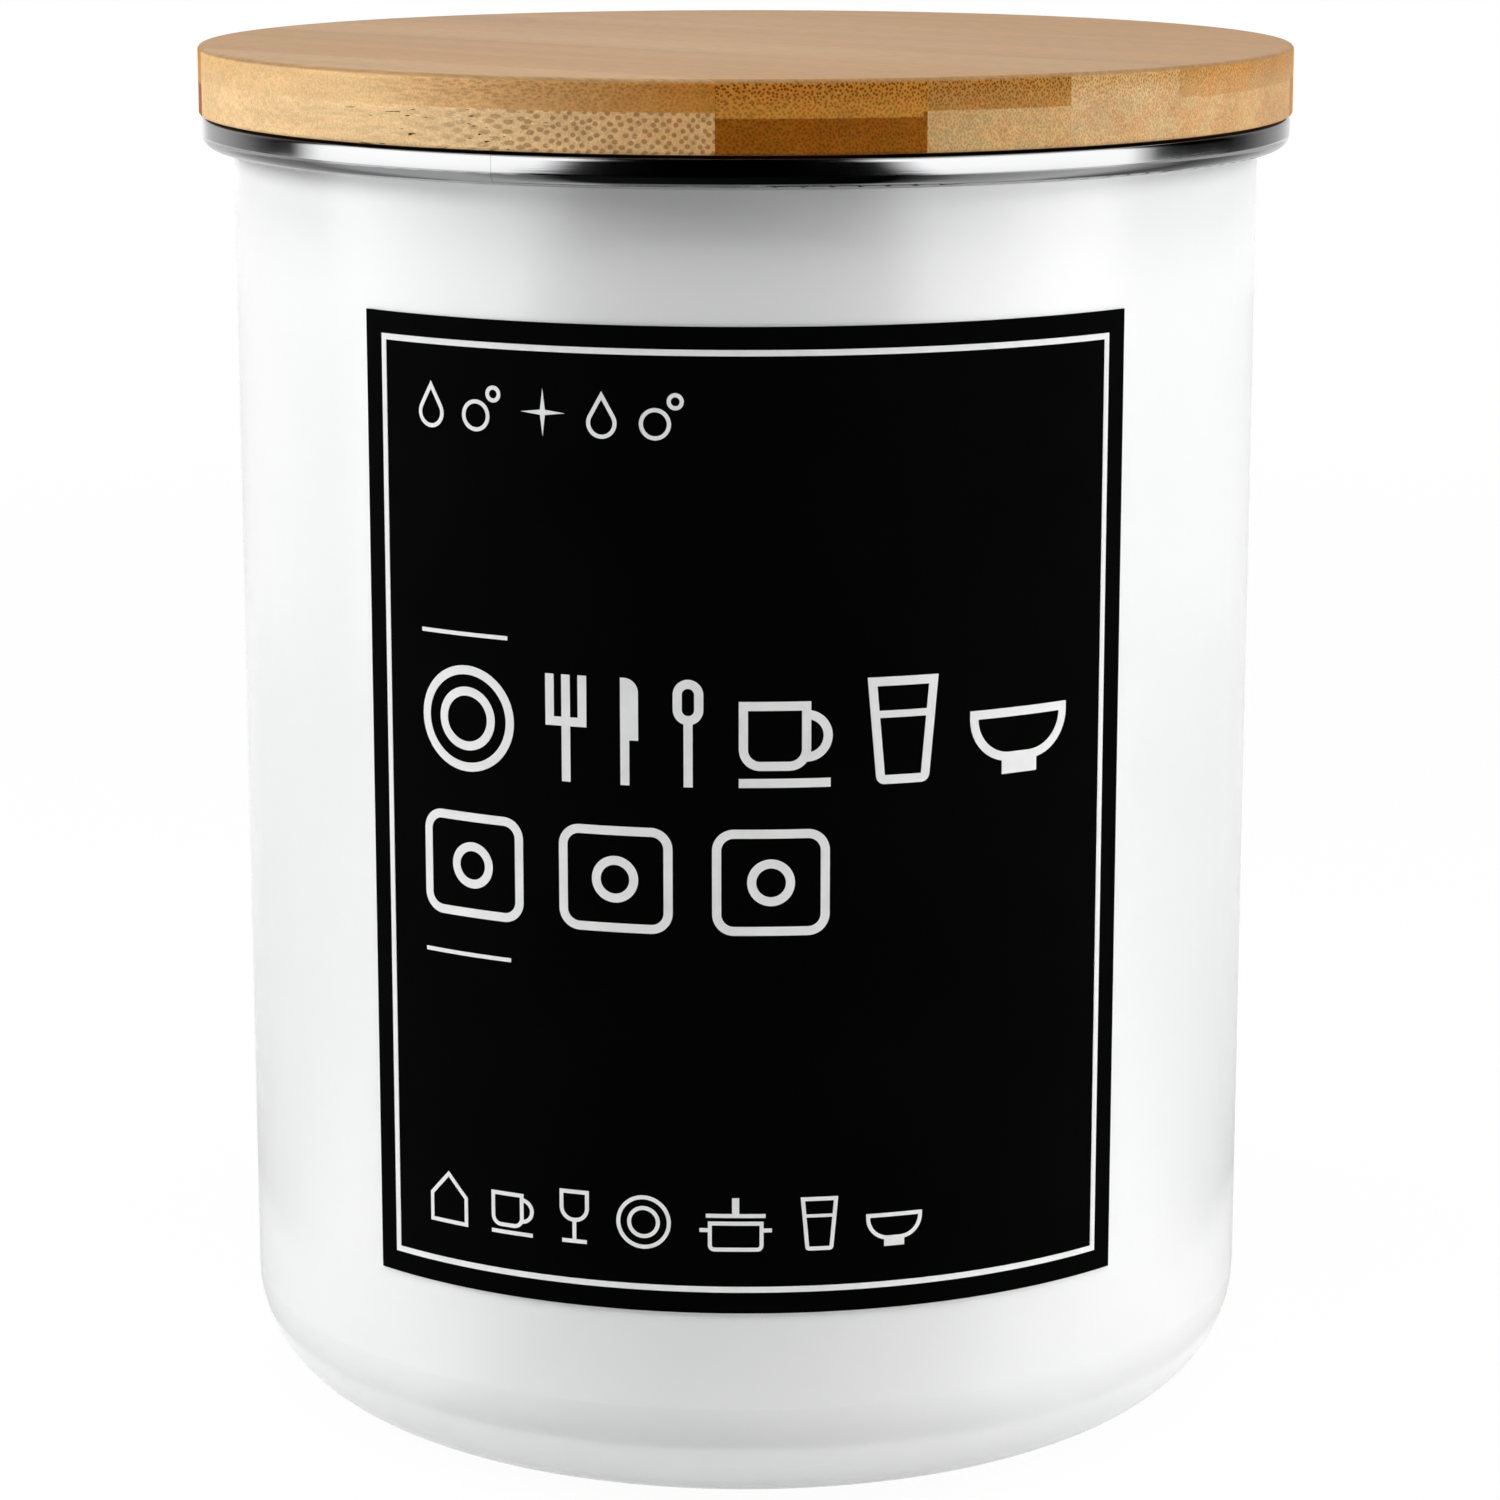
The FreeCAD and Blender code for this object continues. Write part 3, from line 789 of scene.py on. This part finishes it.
def new_mesh_object(name, vertices, faces, finish):
    """A mesh object from plain lists, in one finish."""
    mesh = bpy.data.meshes.new(name)
    mesh.from_pydata(vertices, [], faces)
    mesh.materials.append(finish)
    piece = bpy.data.objects.new(name, mesh)
    bpy.context.scene.collection.objects.link(piece)
    return piece


# %% [markdown]
# The table's finish is a mix of two shaders: its real surface, which lights the canister and
# takes its shadow, and a plain white glow for whatever sees the table directly.

# %% Table
TABLE_HALF = 4.0
TABLE_OWN_WHITE = 0.97             # how much of what the camera sees close by is plain white
PURE_WHITE = (0.2, 0.8)            # between these distances it rises to all of it, m
TABLE_BOUNCE_SHADE = [(0.055, 0.56), (0.075, 0.74), (0.14, 0.72), (0.30, 0.42)]   # (distance, share)


def table_finish():
    """White, and for the camera mostly its own colour, with a share of the real shading."""
    material = bpy.data.materials.new("white_table")
    material.use_nodes = True
    tree = material.node_tree
    shader = tree.nodes["Principled BSDF"]
    seen = seen_directly(tree)
    place = put(tree, "ShaderNodeTexCoord").outputs["Object"]
    distance = put(tree, "ShaderNodeVectorMath", {"operation": "LENGTH"}, Vector=place)
    distance = distance.outputs["Value"]
    # Painted shade: for lighting rays the table is darker near the foot of the can and far out.
    bounce_shade = ramp_through(tree, distance, [(reach, grey(share)) for reach, share in TABLE_BOUNCE_SHADE])
    colour = blend(tree, seen, bounce_shade.outputs["Color"], grey(0.9))
    fill(tree, shader.inputs["Base Color"], colour)
    shader.inputs["Roughness"].default_value = 0.9
    shader.inputs["Specular IOR Level"].default_value = 0.0
    own_white = soft_step(tree, distance, *PURE_WHITE, TABLE_OWN_WHITE, 1.0)
    white = put(tree, "ShaderNodeEmission", Color=grey(1.0), Strength=1.0)
    mix = put(tree, "ShaderNodeMixShader", Fac=times(tree, seen, own_white))
    tree.links.new(shader.outputs[0], mix.inputs[1])
    tree.links.new(white.outputs[0], mix.inputs[2])
    tree.links.new(mix.outputs[0], tree.nodes["Material Output"].inputs["Surface"])
    return material


side = TABLE_HALF
corners = [(-side, -side, 0), (side, -side, 0), (side, side, 0), (-side, side, 0)]
table = new_mesh_object("studio_table", corners, [(0, 1, 2, 3)], table_finish())
print("the table is", 2 * TABLE_HALF, "m wide")

# %% [markdown]
# The world stands for the air of the room. Where it is seen its strength is one, which is
# white, and otherwise it gives the canister only a little light.

# %% Air
AIR_LIGHT = 0.02

world = bpy.data.worlds.new("studio_air")
bpy.context.scene.world = world
world.use_nodes = True
background = world.node_tree.nodes["Background"]
background.inputs["Color"].default_value = grey(1.0)
air = maths(world.node_tree, "MULTIPLY_ADD", seen_directly(world.node_tree), 1.0 - AIR_LIGHT,
            AIR_LIGHT)
world.node_tree.links.new(air, background.inputs["Strength"])
print("the air lights the canister with", AIR_LIGHT, "of what is seen of it")

# %% [markdown]
# ## Soft lights
#
# Two soft boxes stand on each side of the canister, one high and one low, and a fifth hangs
# high in front. The high side boxes brighten the flanks of the can and leave its middle
# darker, the low ones reach in under the rim, and the top box throws the rim's soft shadow
# down the front of the wall. An angle is measured round from the front, and a height angle up
# from the table. Mirrors don't see these boxes. What they see is built in the next step, so
# that light and reflection can be set apart from each other.

# %% Lamps
AIM = Vector((0, 0, 0.075))
BOX_DISTANCE = 0.60
LAMPS = [
    # name, angle round, height angle, width, height, watts
    ("left_high_box", -82, 32, 0.40, 0.24, 2.62),
    ("left_low_box", -90, 3, 0.40, 0.24, 0.48),
    ("right_high_box", 77, 32, 0.40, 0.24, 1.63),
    ("right_low_box", 78, 3, 0.40, 0.24, 1.4),
    ("top_box", 0, 73, 0.34, 0.34, 3.2),
]


def soft_light(name, angle_round, height_angle, width, tall, power):
    """A soft box aimed at the middle of the canister."""
    data = bpy.data.lights.new(name, "AREA")
    data.shape = "RECTANGLE"
    data.size = width
    data.size_y = tall
    data.energy = power
    lamp = bpy.data.objects.new(name, data)
    turn = math.radians(angle_round)
    rise = math.radians(height_angle)
    away = Vector((math.sin(turn) * math.cos(rise), -math.cos(turn) * math.cos(rise), math.sin(rise)))
    lamp.location = AIM + BOX_DISTANCE * away
    lamp.rotation_euler = (-away).to_track_quat("-Z", "Y").to_euler()
    lamp.visible_glossy = False
    bpy.context.scene.collection.objects.link(lamp)


for lamp_settings in LAMPS:
    soft_light(*lamp_settings)
print("soft boxes:", len(LAMPS), "with", round(sum(lamp[-1] for lamp in LAMPS), 2), "W in all")

# %% [markdown]
# ## What the polished parts mirror
#
# Steel and enamel show the room, so round screens that only mirrors can see stand about the
# canister. Their brightness changes with the angle round: bright at the sides, black in front
# where the camera stands in the dark, a dark gap behind each side, and pale again at the back.
# Soft steps between them give the soft ends that a reflection has on buffed steel. Mirrors
# could be left to see the soft boxes, but then no reflection could be set without changing the
# light as well.
#
# There is one screen to each part that does the mirroring. The rim's wall looks out level, at
# the tall screen. The enamel below it looks down: just under the rim at the mid wall, lower at
# the low wall, then at the table, and at its foot at the ring of table close by. The edges of
# the tall screen's dark front curve towards each other as they rise, and that gives the bright
# patches on the rim their slanting ends.

# %% Brightness by angle
TALL_FOOT = 0.066                                    # where the tall screen begins, m
LEAN_HEIGHTS = (TALL_FOOT, 0.28)                     # the lean grows between these heights, m
LEAN_CURVE = 0.35                                    # below 1 it grows quickly at first
NEAR_FRONT = (math.radians(50), math.radians(70))    # and it fades out between these angles


def leaning(tree, angle, height, lean):
    """An angle round, shifted so that edges near the front draw together as they rise."""
    near_front = soft_step(tree, maths(tree, "ABSOLUTE", angle), *NEAR_FRONT, lean, 0.0)
    rise = maths(tree, "POWER", slope(tree, height, *LEAN_HEIGHTS), LEAN_CURVE)
    return maths(tree, "ADD", angle, times(tree, near_front, rise, maths(tree, "SIGN", angle)))


def glow_by_angle(name, stops, lean=0.0):
    """A light of its own whose brightness follows a list of (angle round, brightness)."""
    finish = bpy.data.materials.new(name)
    finish.use_nodes = True
    tree = finish.node_tree
    place = put(tree, "ShaderNodeTexCoord").outputs["Object"]
    parts = put(tree, "ShaderNodeSeparateXYZ", Vector=place)
    forward = maths(tree, "MULTIPLY", parts.outputs["Y"], -1.0)
    angle = maths(tree, "ARCTAN2", parts.outputs["X"], forward)
    if lean:
        angle = leaning(tree, angle, parts.outputs["Z"], lean)
    position = maths(tree, "MULTIPLY_ADD", angle, 0.5 / math.pi, 0.5)
    brightest = max(brightness for _, brightness in stops)
    marks = [(0.5 + turn / 360, grey(brightness / brightest)) for turn, brightness in stops]
    ramp = ramp_through(tree, position, marks)
    glow = put(tree, "ShaderNodeEmission", Color=ramp.outputs["Color"], Strength=brightest)
    tree.links.new(glow.outputs[0], tree.nodes["Material Output"].inputs["Surface"])
    return finish


# %% [markdown]
# A screen is a profile swept round the canister, as a lathe sweeps a turned shape. It is hidden
# from the camera and from every ray but the glossy ones.

# %% A screen for mirrors
def mirror_screen(name, profile, finish, start=-180, end=180, steps=48):
    """A profile of (radius, height) points swept round; only reflections can see it."""
    vertices = []
    for radius, height in profile:
        for step in range(steps + 1):
            turn = math.radians(start + (end - start) * step / steps)
            vertices.append((radius * math.sin(turn), -radius * math.cos(turn), height))
    ring = steps + 1
    faces = [(row * ring + i, row * ring + i + 1, (row + 1) * ring + i + 1, (row + 1) * ring + i)
             for row in range(len(profile) - 1) for i in range(steps)]
    screen = new_mesh_object(name, vertices, faces, finish)
    screen.visible_camera = False
    screen.visible_diffuse = False
    screen.visible_shadow = False
    screen.visible_transmission = False
    print(name, "has", len(faces), "faces")


# %% [markdown]
# Each list gives the brightness round the canister, from the back over its left side to the
# front at nought, and on over the right side to the back again. One is the white of the air.

# %% The screens
WALL = 0.62                # radius of the upright screens, m
MID_WALL_FOOT = 0.044      # the mid wall reaches from here to the foot of the tall screen
TALL_TOP = 0.50
CEILING = 1.3
DARK_FROM, DARK_TO = -38, 28    # the dark in front goes on to the ceiling between these angles
CAN_EDGE = 0.054
FOOT_TO = 0.09             # radius of the ring of table at the can's foot
LOW_WALL_FROM = 0.45       # the table mirrors as table up to here, and as wall beyond
JUST_ABOVE = 0.001
LEAN = math.radians(11)

TALL_STOPS = [(-180, 1.2), (-158, 1.05), (-150, 0.70), (-134, 0.50), (-126, 0.34), (-117, 0.12),
              (-110, 0.02), (-103.5, 0.03), (-98, 1.3), (-94, 1.95), (-86, 2.02), (-45.5, 2.0),
              (-37.5, 0.0), (31.3, 0.0), (39.3, 2.02), (82, 1.98), (90.5, 0.1), (96, 0.0),
              (115, 0.0), (122, 0.07), (134, 0.30), (146, 0.53), (158, 0.82), (180, 1.1)]
MID_WALL_STOPS = [(-180, 0.9), (-128, 0.9), (-112, 1.3), (-91, 1.6), (-48, 1.6), (-42, 0.0),
                  (33, 0.0), (40, 1.6), (78, 1.7), (86, 1.4), (108, 1.4), (124, 1.0), (180, 0.9)]
LOW_WALL_STOPS = [(-180, 0.8), (-130, 0.7), (-104, 0.5), (-96, 0.5), (-91, 1.1), (-48, 1.1),
                  (-42, 0.0), (33, 0.0), (40, 1.15), (78, 1.1), (86, 0.5), (130, 0.65),
                  (180, 0.8)]
TABLE_STOPS = [(-180, 0.9), (-150, 0.8), (-134, 0.5), (-122, 0.35), (-103, 0.25), (-86, 0.6),
               (-60, 0.62), (-46, 0.3), (-37, 0.01), (30, 0.0), (38, 0.12), (46, 0.4),
               (60, 0.55), (74, 0.72), (84, 0.6), (90, 0.35), (104, 0.1), (122, 0.25),
               (134, 0.45), (150, 0.7), (180, 1.0)]
FOOT_STOPS = [(-180, 0.6), (-48, 0.6), (-38, 0.2), (30, 0.2), (40, 0.6), (180, 0.6)]
DARK_STOPS = [(-180, 0.0), (180, 0.001)]

mirror_screen("mirror_screen", [(WALL, TALL_FOOT), (WALL, TALL_TOP)],
              glow_by_angle("screen_glow", TALL_STOPS, LEAN))
mirror_screen("mirror_mid_wall", [(WALL, MID_WALL_FOOT), (WALL, TALL_FOOT)],
              glow_by_angle("mid_wall_glow", MID_WALL_STOPS))
mirror_screen("mirror_low_wall",
              [(LOW_WALL_FROM, JUST_ABOVE), (WALL, JUST_ABOVE), (WALL, MID_WALL_FOOT)],
              glow_by_angle("low_wall_glow", LOW_WALL_STOPS))
mirror_screen("mirror_table", [(FOOT_TO, JUST_ABOVE), (LOW_WALL_FROM, JUST_ABOVE)],
              glow_by_angle("table_glow", TABLE_STOPS))
mirror_screen("mirror_foot", [(CAN_EDGE, JUST_ABOVE), (FOOT_TO, JUST_ABOVE)],
              glow_by_angle("foot_glow", FOOT_STOPS))
mirror_screen("dark_high_front", [(WALL, TALL_TOP), (WALL, CEILING)],
              glow_by_angle("dark_front", DARK_STOPS), start=DARK_FROM, end=DARK_TO)

# %% [markdown]
# ## The camera
#
# A long lens from less than half a metre, a little above the lid and tipped down by about
# twelve degrees, shows the top of the lid as a thin ellipse and the label nearly flat. It has no
# shift and no depth of field, so that every other view stays as sharp.

# %% Camera
CAMERA_PLACE = (0.00043, -0.4711, 0.1680)
CAMERA_TIP = math.radians(12.295)
camera_data = bpy.data.cameras.new("camera")
camera_data.sensor_width = 36.0
camera_data.lens = 110.95
camera = bpy.data.objects.new("camera", camera_data)
camera.location = CAMERA_PLACE
camera.rotation_euler = (math.pi / 2 - CAMERA_TIP, 0, 0)
bpy.context.scene.collection.objects.link(camera)
bpy.context.scene.camera = camera
bpy.context.scene.view_settings.view_transform = "Standard"
print("the lens is", round(camera_data.lens, 2), "mm")
